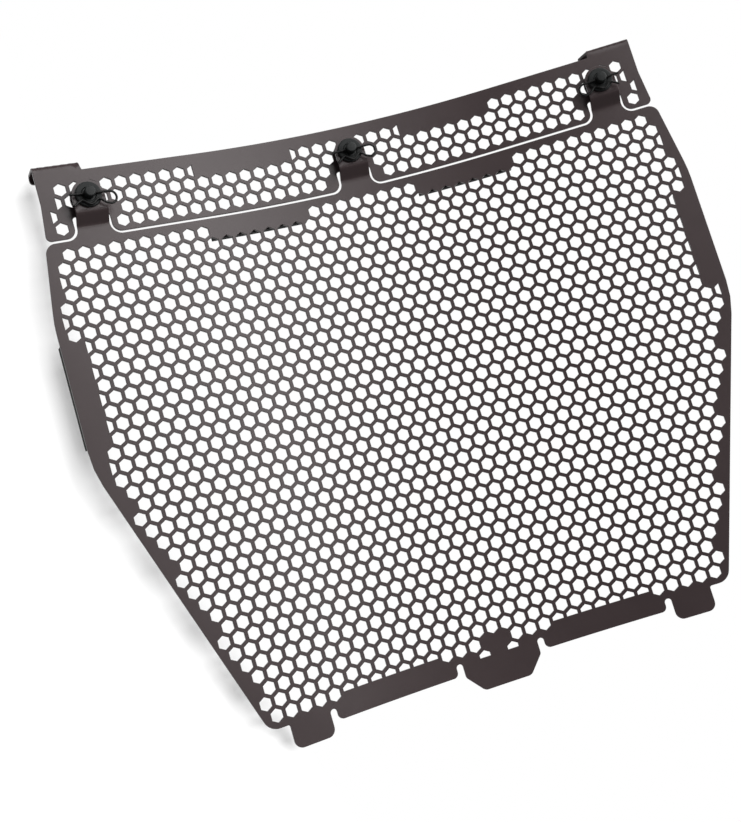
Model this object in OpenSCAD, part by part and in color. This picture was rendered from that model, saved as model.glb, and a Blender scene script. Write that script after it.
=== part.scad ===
// Two-piece radiator guard of perforated sheet, curved across its width.
// A small upper panel carries three studs. The tabs of the main panel drop over them on rubber
// grommets, and a spring clip through each stud holds them.
// Positions on a panel are given unrolled: s across the width from the middle line, y up the sheet,
// both on the front face, and h in front of that face.

/* [Sheet] */
// Thickness of both panels
sheet_t = 1.5; // [1:0.1:2.5]
// Radius of the curved middle, on the hollow front face
bend_r = 400; // [320:10:600]
// Angle of each flat wing
wing_deg = 13; // [9:0.5:16]
// Gap between the two panels
panel_gap = 1.4; // [1:0.1:2.5]

/* [Main panel] */
// Widest half width, unrolled
main_half = 191.6; // [188:0.2:200]
// Half width at the top corners
main_top_half = 185.4; // [184:0.2:187.5]
// Half width at the bottom corners
main_foot_half = 137.6; // [134:0.2:146]
// Height of the top edge
main_top = 117.8; // [116:0.2:119]
// Height where the upper slant ends
main_shoulder = 74; // [70:1:80]
// Height where the lower slant starts
main_waist = -6; // [-12:1:0]
// Height of the bottom edge
main_foot = -161.3; // [-164:0.1:-160]
// Height of the two lower edge bands
band_foot = -167.9; // [-172:0.1:-166]
// Foot of the corner tabs
corner_tab_foot = -174.7; // [-180:0.1:-172]
// Middle of each corner tab
corner_tab_s = 114.7; // [112:0.1:117]
// Width of each corner tab
corner_tab_w = 23.2; // [20:0.1:24]
// Foot of the middle tab
middle_tab_foot = -179.2; // [-184:0.1:-176]
// Half width of the middle tab
middle_tab_half = 22.6; // [20:0.1:24]
// Width of the middle tab's slanted corners
middle_tab_slant_w = 8.6; // [6:0.1:10]
// Height of the middle tab's slanted corners
middle_tab_slant_h = 9.7; // [8:0.1:11]
// Width of the relief slots beside the bands
slot_w = 4; // [3:0.1:5]
// Depth of the plain bands under the top edge, for the pads
head_band = 10.8; // [10:0.1:12]
// Depth of the plain bands above the bottom edge, for the pads
foot_band = 6.7; // [6:0.1:8]

/* [Upper panel] */
// Height of the top edge above the main panel
upper_rise = 39.4; // [38.2:0.2:42]
// Half width of the foot
upper_foot_half = 184.3; // [183.6:0.1:186]
// Half width of the head
upper_half = 182.2; // [181.6:0.1:183]
// Height of the hooks' fold above the top edge
hook_rise = 5; // [4:0.1:8]
// Inner end of each hook
hook_in = 156.8; // [150:0.2:160]
// Depth of the hooks behind the front face
hook_depth = 13.5; // [9:0.5:18]
// Length of the hook's lip
hook_lip = 5.6; // [4:0.1:8]
// Depth of the plain bands under the top edge, for the pads
upper_band = 11; // [10:0.1:12]

/* [Perforation] */
// Width of a hexagon across its flats
hole_af = 6.5; // [6:0.1:7]
// Web between two hexagons
web = 2; // [1.5:0.1:2.5]
// Hexagons and webs are drawn this many times the real size, so that the solid stays light
hole_scale = 2; // [2:1:3]
// Plain border round the perforation
border = 3.1; // [2:0.1:4]

/* [Fastenings] */
// Distance of the side fastenings from the middle one
stud_s = 157.3; // [155:0.1:159]
// Height of the fastenings above the main panel
stud_rise = 22.1; // [21.6:0.1:23]
// Diameter of the stud
stud_d = 6; // [5:0.1:6.6]
// Height of the stud's end
stud_h = 12.9; // [12:0.1:15]
// Width of the tabs over the upper panel
tab_w = 18; // [17:0.1:19]
// Height of the tabs' front face
tab_h = 6; // [5:0.1:7]
// Diameter of the grommet flanges
grommet_d = 14.4; // [13:0.1:16]
// Thickness of the grommet's front flange
flange_t = 1.8; // [1.2:0.1:2.4]
// Diameter of the clip wire
wire_d = 1.3; // [0.9:0.1:1.6]

/* [Rear pads] */
// Thickness of the foam pads
pad_t = 5; // [3:0.5:8]
// Inner end of the plain bands for the long pads
pad_in = 33.7; // [30:0.1:40]
// Outer end of the plain bands for the long pads
pad_out = 93.7; // [92:0.1:97]
// The long pads stop this far inside the ends of the bands
pad_short = 1.5; // [1:0.1:3]
// Width of the side pads
side_pad_w = 12.4; // [10:0.1:13]
// Lower end of the side pads
side_pad_low = 5.5; // [2:0.5:10]
// Upper end of the side pads
side_pad_high = 62; // [55:0.5:64]

/* [Hidden] */

sheet_col = [0.33, 0.30, 0.30];
rubber_col = [0.17, 0.18, 0.18];
foam_col = [0.10, 0.10, 0.10];
steel_col = [0.14, 0.14, 0.14];

upper_top = main_top + upper_rise;
hook_fold = upper_top + hook_rise;
stud_y = main_top + stud_rise;

half_arc = bend_r * wing_deg * PI / 180;  // unrolled half width of the curved middle
back_r = bend_r + sheet_t;
pad_r = back_r + pad_t;
seat = 0.1;                               // running clearance where pieces rest on each other
far = 400;                                // reach of the trimming blocks
bend_flats = 4;                           // narrow flats from the middle line to each wing
flat_deg = wing_deg / bend_flats;
flat_s = half_arc / bend_flats;

// The guard lies on the inner ends of its long pads, or on the sheet if the pads are thin.
axis_z = max(back_r, -on_flats(pad_r, pad_in + pad_short)[1]);

// The origin is under the middle of the whole guard.
mid_y = (hook_fold + middle_tab_foot) / 2;
module at_axis() { translate([0, -mid_y, axis_z]) children(); }

// Angle of the sheet and overhang past the fold at unrolled place s
function clamped(s) = max(-half_arc, min(half_arc, s));
function turn_at(s) = clamped(s) / bend_r * 180 / PI;
function over(s) = s - clamped(s);
// Plan position of the unrolled place s on the front face
function plan_x(s) = bend_r * sin(turn_at(s)) + over(s) * cos(wing_deg);

// Outlines are corners [x, y, r], each turned into an arc of radius r.
function unit(v) = v / norm(v);
function corner_arc(a, b, c, r) =
    let (u = unit(a - b), v = unit(c - b), half = acos(u * v) / 2,
         centre = b + unit(u + v) * r / sin(half),
         p = b + u * r / tan(half) - centre, q = b + v * r / tan(half) - centre,
         from = atan2(p[1], p[0]),
         raw = atan2(q[1], q[0]) - from,
         swing = raw > 180 ? raw - 360 : raw < -180 ? raw + 360 : raw,
         steps = max(1, ceil(abs(swing) / 18)))
    [for (k = [0 : steps]) centre + r * [cos(from + swing * k / steps), sin(from + swing * k / steps)]];
function xy(p) = [p[0], p[1]];
function rounded(path) =
    [for (i = [0 : len(path) - 1])
        let (n = len(path), a = path[(i + n - 1) % n], b = path[i], c = path[(i + 1) % n])
        each (b[2] > 0 ? corner_arc(xy(a), xy(b), xy(c), b[2]) : [xy(b)])];
function both_sides(half) =
    concat(half, [for (i = [len(half) - 1 : -1 : 0]) [-half[i][0], half[i][1], half[i][2]]]);
function in_plan(points) = [for (p = points) [plan_x(p[0]), p[1]]];

// Stands children at the unrolled place (s, y): x along the sheet, z out of its front face
module on_sheet(s, y) {
    at_axis() rotate([0, -turn_at(s), 0]) translate([over(s), y, -bend_r]) children();
}

// The bend is a row of flats that touch its arc. A point [x, z] from the axis, at distance r of the
// flats and unrolled place s
function on_flats(r, s) =
    let (a = turn_at(s), q = r / cos(a - round(a / flat_deg) * flat_deg))
    [q * sin(a) + over(s) * cos(a), over(s) * sin(a) - q * cos(a)];
function strip(r0, r1, s0, s1) =
    let (marks = concat([s0], [for (k = [-bend_flats : bend_flats - 1])
                               let (c = (k + 0.5) * flat_s) if (c > s0 && c < s1) c], [s1]))
    concat([for (m = marks) on_flats(r0, m)], [for (i = [len(marks) - 1 : -1 : 0]) on_flats(r1, marks[i])]);

// A layer of the bent sheet or of its pads, between two unrolled places and two heights
module bent(r0, r1, s0, s1, low, high) {
    at_axis() translate([0, high, 0]) rotate([90, 0, 0]) linear_extrude(high - low)
        polygon(strip(r0, r1, s0, s1));
}

// The part of an outline beyond the place s, towards the given side
function beyond(points, s, side) =
    [for (i = [0 : len(points) - 1])
        let (p = points[i], q = points[(i + 1) % len(points)],
             here = side * (p[0] - s) > 0, there = side * (q[0] - s) > 0)
        each concat(here ? [p] : [], here != there ? [p + (q - p) * (s - p[0]) / (q[0] - p[0])] : [])];

// Both panels are cut from one blank: the curved middle from above, each flat wing square to itself.
// The wing's edge lies a hair outside the middle's, so that no two faces of the cutter nearly touch.
wing_cut = half_arc + 2;
hair = 0.02;
module sheet_from(outline) {
    middle = beyond(beyond(outline, wing_cut + 1, -1), -wing_cut - 1, 1);
    wing = [for (p = beyond(outline, wing_cut, 1)) [p[0], p[1] + hair * sign(p[1])]];
    intersection() {
        bent(bend_r, back_r, -main_half - 5, main_half + 5, -far / 2, far / 2);
        union() {
            translate([0, -mid_y, 0]) linear_extrude(far) polygon(in_plan(middle));
            for (side = [0, 1]) mirror([side, 0, 0]) on_sheet(half_arc, 0)
                translate([-half_arc, 0, -sheet_t - 3])
                    linear_extrude(sheet_t + 6) polygon(wing);
        }
    }
}

/* Perforation */
pitch = (hole_af + web) * hole_scale;
row = pitch * sqrt(3) / 2;
cut_af = hole_af * hole_scale;
cut_r = cut_af / sqrt(3);

// Distance of a point inside the edge from a to b, which runs clockwise
function inset(p, a, b) = let (d = unit(b - a)) (p[0] - a[0]) * d[1] - (p[1] - a[1]) * d[0];
function deep_in(p, edges) =
    min([for (i = [0 : len(edges) - 2]) inset(p, edges[i], edges[i + 1])]);
function hole_rows(high, low) = [for (j = [0 : floor((high - low - 2 * cut_r) / row)]) j];

// Every sixth row is one group of cutters, from the row given by first.
module hole_group(first, high, low, half, holes_at) {
    reach = floor(half / pitch) + 1;
    for (j = [first : 6 : len(hole_rows(high, low)) - 1], i = [-reach : reach]) {
        s = (i + (j % 2) / 2) * pitch;
        y = high - cut_r - j * row;
        if (holes_at == "main" ? main_hole(s, y) : upper_hole(s, y))
            on_sheet(s, y) translate([0, 0, -sheet_t - 1]) rotate(30)
                cylinder(r = cut_r, h = sheet_t + 2, $fn = 6);
    }
}

/* Main panel */
band_low = main_foot + foot_band;
band_high = main_top - head_band;
holes_high = main_top - 3.4;
holes_low = main_foot + 2.6;
foot_slot_s = [corner_tab_s - corner_tab_w / 2 - slot_w, middle_tab_half];
tab_step = tab_h;                 // the step of each tab rises at 45 degrees
tab_fold = main_top + 7;          // where the step starts
tab_root = tab_fold - 0.6;        // the flat sheet ends here, and each tab starts 1 mm before
root_r = tab_root - main_top - 0.1; // the fillet beside each tab ends before the step
bend_in = 1;                      // radius inside a tab's bends
bend_out = bend_in + sheet_t;

main_half_outline = [
    [tab_w / 2, tab_root, 0],
    [tab_w / 2, main_top, root_r],
    [stud_s - tab_w / 2, main_top, root_r],
    [stud_s - tab_w / 2, tab_root, 0],
    [stud_s + tab_w / 2, tab_root, 0],
    [stud_s + tab_w / 2, main_top, root_r],
    [main_top_half, main_top, 6],
    [main_half, main_shoulder, 80],
    [main_half, main_waist, 60],
    [main_foot_half, main_foot, 8],
    [corner_tab_s + corner_tab_w / 2, main_foot, 1.2],
    [corner_tab_s + corner_tab_w / 2, corner_tab_foot, 4.5],
    [corner_tab_s - corner_tab_w / 2, corner_tab_foot, 4.5],
    [corner_tab_s - corner_tab_w / 2, main_foot, slot_w / 2 - 0.05],
    [foot_slot_s[0], main_foot, slot_w / 2 - 0.05],
    [foot_slot_s[0], band_foot, 3],
    [foot_slot_s[1] + slot_w, band_foot, 3],
    [foot_slot_s[1] + slot_w, main_foot, slot_w / 2 - 0.05],
    [foot_slot_s[1], main_foot, slot_w / 2 - 0.05],
    [foot_slot_s[1], middle_tab_foot + middle_tab_slant_h, 3],
    [middle_tab_half - middle_tab_slant_w, middle_tab_foot, 4]
];
main_edges = [
    [0, main_top], [main_top_half, main_top], [main_half, main_shoulder],
    [main_half, main_waist], [main_foot_half, main_foot], [0, main_foot]
];
function main_hole(s, y) =
    deep_in([abs(s), y], main_edges) >= border + cut_af / 2
    && !(abs(s) + cut_af / 2 > pad_in && abs(s) - cut_af / 2 < pad_out
         && (y + cut_r > band_high || y - cut_r < band_low))
    && !(abs(s) + cut_af / 2 > main_half - side_pad_w - border
         && y + cut_r > side_pad_low && y - cut_r < side_pad_high);

// Section of a tab along the sheet: [y, h, r] of its step, its bends and its raised end
bend_run = sheet_t * tan(22.5);
tab_section = rounded([
    [tab_root - 1, -sheet_t, 0], [tab_root - 1, 0, 0], [tab_fold, 0, bend_in],
    [tab_fold + tab_step, tab_h, bend_out], [stud_y + tab_w, tab_h, 0],
    [stud_y + tab_w, tab_h - sheet_t, 0],
    [tab_fold + tab_step + bend_run, tab_h - sheet_t, bend_in],
    [tab_fold + bend_run, -sheet_t, bend_out]
]);
module tab(s) {
    on_sheet(s, 0) intersection() {
        translate([-tab_w / 2, 0, 0]) rotate([90, 0, 90]) linear_extrude(tab_w) polygon(tab_section);
        translate([0, 0, -sheet_t - 1]) linear_extrude(tab_h + 9) {
            translate([0, stud_y]) circle(d = tab_w, $fn = 72);
            translate([-tab_w / 2, tab_fold - 3]) square([tab_w, stud_y - tab_fold + 3]);
        }
    }
}
module main_panel() {
    color(sheet_col) difference() {
        union() {
            sheet_from(rounded(both_sides(main_half_outline)));
            tab(0);
            tab(stud_s);
            mirror([1, 0, 0]) tab(stud_s);
        }
        for (s = [-stud_s, 0, stud_s]) on_sheet(s, stud_y)
            cylinder(d = neck_d + 2 * seat, h = tab_h + 5, $fn = 72);
        hole_group(0, holes_high, holes_low, main_half, "main");
        hole_group(1, holes_high, holes_low, main_half, "main");
        hole_group(2, holes_high, holes_low, main_half, "main");
        hole_group(3, holes_high, holes_low, main_half, "main");
        hole_group(4, holes_high, holes_low, main_half, "main");
        hole_group(5, holes_high, holes_low, main_half, "main");
    }
}

/* Upper panel */
upper_foot = main_top + panel_gap;
notch_half = tab_w / 2 + panel_gap;  // room beside each tab
notch_top = tab_fold + 6;
hook_base = hook_fold - 4;           // where the hook's section takes over from the flat sheet
flare = 4;                           // the hook is wider behind than in front

upper_half_outline = [
    [notch_half, notch_top, 2],
    [notch_half, upper_foot, root_r - panel_gap],
    [stud_s - notch_half, upper_foot, root_r - panel_gap],
    [stud_s - notch_half, notch_top, 2],
    [stud_s + notch_half, notch_top, 2],
    [stud_s + notch_half, upper_foot, root_r - panel_gap],
    [upper_foot_half, upper_foot, 3],
    [upper_half, stud_y, 20],
    [upper_half, hook_base, 0],
    [hook_in - 0.6, hook_base, 0],
    [hook_in - 1, upper_top, 0.6]
];
function upper_hole(s, y) =
    y - cut_r > upper_foot + 1 && y + cut_r < upper_top - 4
    && abs(s) + cut_af / 2 < upper_half - 2 * border
    && !(abs(s) + cut_af / 2 > pad_in && abs(s) - cut_af / 2 < pad_out && y > stud_y)
    && min([for (f = [-stud_s, 0, stud_s]) norm([s - f, y - stud_y])]) > tab_w / 2 + border + cut_af / 2
    && min([for (f = [-stud_s, 0, stud_s]) abs(s - f)]) > notch_half + border + cut_af / 2;

// Section of a hook: [y, h] of the web that goes back and the lip that turns down
hook_section = rounded([
    [hook_base, 0, 0], [hook_fold, 0, 2.4], [hook_fold, -hook_depth, 2.4],
    [hook_fold - hook_lip, -hook_depth, 0.4], [hook_fold - hook_lip, sheet_t - hook_depth, 0.4],
    [hook_fold - sheet_t, sheet_t - hook_depth, 0.9], [hook_fold - sheet_t, -sheet_t, 0.9],
    [hook_base, -sheet_t, 0]
]);
module hook() {
    back_in = hook_in - flare;
    mid = (back_in + upper_half) / 2;
    on_sheet(mid, 0) translate([-mid, 0, 0]) intersection() {
        translate([back_in, 0, 0]) rotate([90, 0, 90]) linear_extrude(upper_half - back_in)
            polygon(hook_section);
        translate([0, hook_fold + 1, 0]) rotate([90, 0, 0]) linear_extrude(4 * hook_lip)
            polygon([[hook_in, 1], [upper_half + 1, 1], [upper_half + 1, -hook_depth - 1],
                     [back_in, -hook_depth - 1], [back_in, 1.5 - hook_depth], [hook_in, -2]]);
        translate([0, 0, -hook_depth - 1]) linear_extrude(hook_depth + 2)
            polygon(rounded([[back_in, hook_fold - hook_lip, 2.2], [back_in, hook_fold + 1, 0],
                             [upper_half, hook_fold + 1, 0], [upper_half, hook_fold - hook_lip, 2.2]]));
    }
}
module upper_panel() {
    color(sheet_col) difference() {
        union() {
            sheet_from(rounded(both_sides(upper_half_outline)));
            hook();
            mirror([1, 0, 0]) hook();
        }
        for (s = [-stud_s, 0, stud_s]) on_sheet(s, stud_y)
            translate([0, 0, -sheet_t - 1]) cylinder(d = stud_d + 2 * seat, h = sheet_t + 2, $fn = 72);
        hole_group(0, upper_top - 5.6, upper_foot, upper_half, "upper");
        hole_group(1, upper_top - 5.6, upper_foot, upper_half, "upper");
    }
}

/* Fastenings */
neck_d = 10;                                // grommet neck in the tab's hole
shoulder_d = 8;                             // stud shoulder inside the grommet
flange_h = tab_h + seat + flange_t;         // front of the grommet
wire_h = flange_h + wire_d / 2 + 0.25;      // height of the clip wire
rivet_d = 11;
rivet_t = 1.2;
clip_turns = [-2, 1, 2];                    // each clip sits a little turned on its stud

// A riveted stud: flat head behind the sheet, shoulder, shank and a rounded end
module stud(s, clip_turn) {
    color(steel_col) on_sheet(s, stud_y) difference() {
        rotate_extrude($fn = 72) polygon(rounded([
            [0, -sheet_t - seat - rivet_t, 0], [rivet_d / 2, -sheet_t - seat - rivet_t, 0.5],
            [rivet_d / 2, -sheet_t - seat, 0], [stud_d / 2, -sheet_t - seat, 0],
            [stud_d / 2, seat, 0], [shoulder_d / 2, seat, 0], [shoulder_d / 2, flange_h - 0.6, 0.3],
            [stud_d / 2, flange_h - 0.6, 0], [stud_d / 2, stud_h, 0.7], [0, stud_h, 0]
        ]));
        translate([0, 0, wire_h]) rotate([0, 0, clip_turn]) rotate([0, 90, 0])
            cylinder(d = wire_d + 0.4, h = stud_d + 4, center = true, $fn = 32);
    }
}
// A rubber grommet: thick flange under the tab, neck through it and a rounded flange in front
module grommet(s) {
    r = grommet_d / 2;
    color(rubber_col) on_sheet(s, stud_y) rotate_extrude($fn = 72) polygon(rounded([
        [shoulder_d / 2 + seat, seat, 0], [r, seat, 0.4], [r, tab_h - sheet_t - seat, 0.4],
        [neck_d / 2, tab_h - sheet_t - seat, 0], [neck_d / 2, tab_h + seat, 0],
        [r, tab_h + seat, 0.3], [r, flange_h, 0.7], [shoulder_d / 2 + seat, flange_h, 0.3]
    ]));
}
// The spring clip: a straight leg through the stud, a round loop and a wavy leg round the grommet
clip_leg = 10.8;
loop_r = 3.5;
wave = 4.9;
clip_line = concat(
    [[-clip_leg, 0]],
    [for (a = [90 : -22.5 : -90]) [clip_leg + loop_r * cos(a), loop_r * (sin(a) - 1)]],
    [[8.2, -6.1], [6.2, -4.4]],
    [for (x = [wave : -1.225 : -wave]) [x, -4.9 - 1.35 * cos(180 * x / wave)]],
    [[-6.4, -4.4], [-9.4, -6.5]]
);
module swept_wire(line, r, sides = 8) {
    n = len(line);
    rings = [for (i = [0 : n - 1])
        let (d = unit(line[min(i + 1, n - 1)] - line[max(i - 1, 0)]))
        for (k = [0 : sides - 1])
            [line[i][0] - d[1] * r * cos(360 * k / sides), line[i][1] + d[0] * r * cos(360 * k / sides),
             r * sin(360 * k / sides)]];
    skin = [for (i = [0 : n - 2], k = [0 : sides - 1])
        let (a = i * sides, b = a + sides, next = (k + 1) % sides) [a + k, a + next, b + next, b + k]];
    polyhedron(rings, concat(skin, [[for (k = [sides - 1 : -1 : 0]) k],
                                    [for (k = [0 : sides - 1]) (n - 1) * sides + k]]));
}
module r_clip(s, clip_turn, flip) {
    color(steel_col) on_sheet(s, stud_y) translate([0, 0, wire_h]) mirror([flip, 0, 0])
        rotate(flip ? -clip_turn : clip_turn) swept_wire(clip_line, wire_d / 2);
}

/* Pads */
pad_inset = 0.9;  // the long pads stop short of the sheet's edge
pad_hidden = 2.2; // the bottom and upper pads are shorter still, so that no hole shows them

// A strip of foam behind the sheet, round the bend and on to the wing
module long_pad(low, high, end = pad_out - pad_short) {
    color(foam_col) bent(back_r, pad_r, pad_in + pad_short, end, low, high);
}
module top_pad() { long_pad(band_high, main_top - pad_inset); }
module hidden_pad(low, high) { long_pad(low, high, pad_out - pad_short - pad_hidden); }
module bottom_pad() { hidden_pad(band_foot + pad_inset, band_low - pad_inset); }
module upper_pad() { hidden_pad(upper_top - upper_band, upper_top - pad_inset); }
module side_pad() {
    color(foam_col) on_sheet(main_half, 0) translate([-side_pad_w, 0, -sheet_t - pad_t])
        linear_extrude(pad_t) polygon(rounded([
            [0, side_pad_low, 1.5], [0, side_pad_high, 1.5],
            [side_pad_w, side_pad_high, 1.5], [side_pad_w, side_pad_low, 1.5]]));
}

main_panel();
upper_panel();
stud(-stud_s, clip_turns[0]);  // stud_left
stud(0, clip_turns[1]);  // stud_centre
stud(stud_s, clip_turns[2]);  // stud_right
grommet(-stud_s);  // grommet_left
grommet(0);  // grommet_centre
grommet(stud_s);  // grommet_right
r_clip(-stud_s, clip_turns[0], 0);  // r_clip_left
r_clip(0, clip_turns[1], 0);  // r_clip_centre
r_clip(stud_s, clip_turns[2], 1);  // r_clip_right
mirror([1, 0, 0]) top_pad();  // top_pad_left
top_pad();  // top_pad_right
mirror([1, 0, 0]) side_pad();  // side_pad_left
side_pad();  // side_pad_right
mirror([1, 0, 0]) bottom_pad();  // bottom_pad_left
bottom_pad();  // bottom_pad_right
mirror([1, 0, 0]) upper_pad();  // upper_pad_left
upper_pad();  // upper_pad_right
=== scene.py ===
"""Two-piece radiator guard of hexagon-perforated sheet, lying on its back under soft studio light.

Lengths are in millimetres until a mesh is made. A place on a panel is given unrolled: s across the
width from the middle line, y up the sheet, both on the front face, and h in front of that face.
"""
import math

import bpy
import numpy as np
from mathutils import Matrix, Vector
from mathutils.geometry import delaunay_2d_cdt


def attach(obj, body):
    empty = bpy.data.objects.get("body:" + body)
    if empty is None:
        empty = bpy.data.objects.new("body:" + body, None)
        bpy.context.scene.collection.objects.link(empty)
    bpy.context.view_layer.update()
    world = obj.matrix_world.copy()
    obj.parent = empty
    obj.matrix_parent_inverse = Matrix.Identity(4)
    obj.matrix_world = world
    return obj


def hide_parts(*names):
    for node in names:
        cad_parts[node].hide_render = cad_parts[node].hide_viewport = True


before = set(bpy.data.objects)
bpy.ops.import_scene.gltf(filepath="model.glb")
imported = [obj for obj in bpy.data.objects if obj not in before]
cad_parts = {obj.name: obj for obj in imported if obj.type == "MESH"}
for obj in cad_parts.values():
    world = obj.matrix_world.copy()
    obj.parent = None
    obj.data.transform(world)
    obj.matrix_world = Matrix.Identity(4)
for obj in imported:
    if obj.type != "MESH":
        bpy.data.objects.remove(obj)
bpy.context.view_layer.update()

# Driving sizes, as in the part's source
MM = 0.001
SHEET_T = 1.5
BEND_R = 400.0
WING = math.radians(13)
HALF_ARC = BEND_R * WING
MAIN_TOP = 117.8
MAIN_FOOT = -161.3
MIDDLE_TAB_FOOT = -179.2
UPPER_TOP = 157.2
HOOK_FOLD = 162.2
HOOK_DEPTH = 13.5
HOOK_LIP = 5.6
PANEL_GAP = 1.4
STUD_S = 157.3
STUD_Y = 139.9
STUD_R = 3.0
TAB_W = 18.0
TAB_H = 6.0
TAB_NECK = 7            # flat part of a tab before its fold
TAB_FOLD = MAIN_TOP + TAB_NECK
HOLE_AF = 6.5
WEB = 2.0
HOLE_ROOM = 3.5         # half a hexagon and a little of its web
PAD_T = 5.0
PAD_IN = 33.7
PAD_OUT = 93.7
BAND_LOW = -154.6
BAND_HIGH = 107.0
SIDE_BAND = 178.2
SIDE_PAD_W = 12.4
SIDE_PAD_LOW = 5.5
SIDE_PAD_HIGH = 62.0
NECK_R = 5.0            # of a grommet, in the hole of its tab
SEAT = 0.1
EDGE_BEVEL = 0.14

MID_Y = (HOOK_FOLD + MIDDLE_TAB_FOOT) / 2
PAD_END_ROOM = 1.5      # from the end of a plain band to the end of its pad
PAD_END_IN = PAD_IN + PAD_END_ROOM
PAD_END_OUT = PAD_OUT - PAD_END_ROOM
PAD_HIDDEN = 2.2        # the bottom and upper pads end this much earlier
# Height of the bend's axis: the solids are bent in nine flats, and the inner ends of their long
# pads touch the floor.
FLAT_TURN = WING / 4
pad_turn = PAD_END_IN / BEND_R
off_flat = pad_turn - round(pad_turn / FLAT_TURN) * FLAT_TURN
AXIS_Z = (BEND_R + SHEET_T + PAD_T) * math.cos(pad_turn) / math.cos(off_flat)
PITCH = HOLE_AF + WEB
ROW = PITCH * math.sqrt(3) / 2
STUDS = (-STUD_S, 0.0, STUD_S)


def place(s, y, h):
    """World positions, in metres, of unrolled places on the bent sheet."""
    s, y, h = (np.asarray(v, float) for v in (s, y, h))
    near = np.clip(s, -HALF_ARC, HALF_ARC)
    turn = near / BEND_R
    over = s - near
    x = over * np.cos(turn) + (BEND_R - h) * np.sin(turn)
    z = over * np.sin(turn) - (BEND_R - h) * np.cos(turn) + AXIS_Z
    return np.stack([x, y - MID_Y + 0 * x, z], -1) * MM


def add_object(name, data):
    obj = bpy.data.objects.new(name, data)
    bpy.context.scene.collection.objects.link(obj)
    return obj


# Camera: fitted to the hole centres of the photograph, in its 741 x 822 frame
PHOTO_W, PHOTO_H = 741, 822
FOCAL_PX = 1202.84
PRINCIPAL_PX = (373.2, 370.7)
EYE = (-171.2, -78.4, 671.0)
RIGHT = Vector((0.94333, -0.28494, 0.17012))
UP = Vector((0.25405, 0.94986, 0.18225))


def make_camera():
    cam = bpy.data.cameras.new("Camera")
    cam.sensor_width = 36.0
    cam.lens = FOCAL_PX * cam.sensor_width / PHOTO_H
    cam.shift_x = (PHOTO_W / 2 - PRINCIPAL_PX[0]) / PHOTO_H
    cam.shift_y = (PRINCIPAL_PX[1] - PHOTO_H / 2) / PHOTO_H
    cam.clip_start = 0.01
    obj = add_object("Camera", cam)
    right = RIGHT.normalized()
    back = right.cross(UP).normalized()
    up = back.cross(right)
    turn = Matrix((right, up, back)).transposed().to_4x4()
    eye = Vector((EYE[0], EYE[1] - MID_Y, EYE[2] + AXIS_Z - BEND_R)) * MM
    obj.matrix_world = Matrix.Translation(eye) @ turn
    bpy.context.scene.camera = obj


make_camera()


# Materials
def new_material(name, colour, roughness, specular):
    mat = bpy.data.materials.new(name)
    mat.use_nodes = True
    shader = mat.node_tree.nodes["Principled BSDF"]
    shader.inputs["Base Color"].default_value = (*colour, 1)
    shader.inputs["Roughness"].default_value = roughness
    shader.inputs["Specular IOR Level"].default_value = specular
    return mat, shader


def add_noise(mat, scale, detail):
    tree = mat.node_tree
    coords = tree.nodes.new("ShaderNodeTexCoord")
    noise = tree.nodes.new("ShaderNodeTexNoise")
    noise.inputs["Scale"].default_value = scale
    noise.inputs["Detail"].default_value = detail
    tree.links.new(coords.outputs["Object"], noise.inputs["Vector"])
    return noise.outputs["Fac"]


def vary_colour(mat, shader, fac, low, high):
    ramp = mat.node_tree.nodes.new("ShaderNodeValToRGB")
    ramp.color_ramp.elements[0].position = 0.3
    ramp.color_ramp.elements[1].position = 0.7
    ramp.color_ramp.elements[0].color = (*low, 1)
    ramp.color_ramp.elements[1].color = (*high, 1)
    mat.node_tree.links.new(fac, ramp.inputs["Fac"])
    mat.node_tree.links.new(ramp.outputs["Color"], shader.inputs["Base Color"])


def vary_roughness(mat, shader, fac, low, high):
    span = mat.node_tree.nodes.new("ShaderNodeMapRange")
    span.inputs["To Min"].default_value = low
    span.inputs["To Max"].default_value = high
    mat.node_tree.links.new(fac, span.inputs["Value"])
    mat.node_tree.links.new(span.outputs["Result"], shader.inputs["Roughness"])


def add_bump(mat, shader, fac, strength, distance):
    bump = mat.node_tree.nodes.new("ShaderNodeBump")
    bump.inputs["Strength"].default_value = strength
    bump.inputs["Distance"].default_value = distance
    mat.node_tree.links.new(fac, bump.inputs["Height"])
    mat.node_tree.links.new(bump.outputs["Normal"], shader.inputs["Normal"])


def sheet_material():
    mat, shader = new_material("sheet_finish", (0.041, 0.0285, 0.0295), 0.32, 0.3)
    vary_colour(mat, shader, add_noise(mat, 60, 4), (0.039, 0.0270, 0.0280), (0.043, 0.0300, 0.0310))
    vary_roughness(mat, shader, add_noise(mat, 300, 2), 0.29, 0.35)
    add_bump(mat, shader, add_noise(mat, 2500, 2), 0.10, 0.0001)
    return mat


def rubber_material():
    mat, shader = new_material("rubber", (0.013, 0.0145, 0.0145), 0.6, 0.2)
    vary_colour(mat, shader, add_noise(mat, 500, 3), (0.0115, 0.013, 0.013), (0.0145, 0.016, 0.016))
    add_bump(mat, shader, add_noise(mat, 3000, 2), 0.15, 0.0001)
    return mat


def stud_material():
    mat, shader = new_material("plated_steel", (0.009, 0.0105, 0.0105), 0.45, 0.2)
    vary_roughness(mat, shader, add_noise(mat, 900, 2), 0.40, 0.52)
    add_bump(mat, shader, add_noise(mat, 2600, 2), 0.08, 0.0001)
    return mat


def wire_material():
    mat, shader = new_material("spring_wire", (0.006, 0.006, 0.006), 0.4, 0.2)
    vary_roughness(mat, shader, add_noise(mat, 1200, 2), 0.34, 0.48)
    return mat


def foam_material():
    mat, shader = new_material("foam", (0.012, 0.012, 0.012), 0.85, 0.25)
    vary_colour(mat, shader, add_noise(mat, 900, 4), (0.008, 0.008, 0.008), (0.018, 0.018, 0.018))
    add_bump(mat, shader, add_noise(mat, 2200, 4), 0.6, 0.0004)
    return mat


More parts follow.
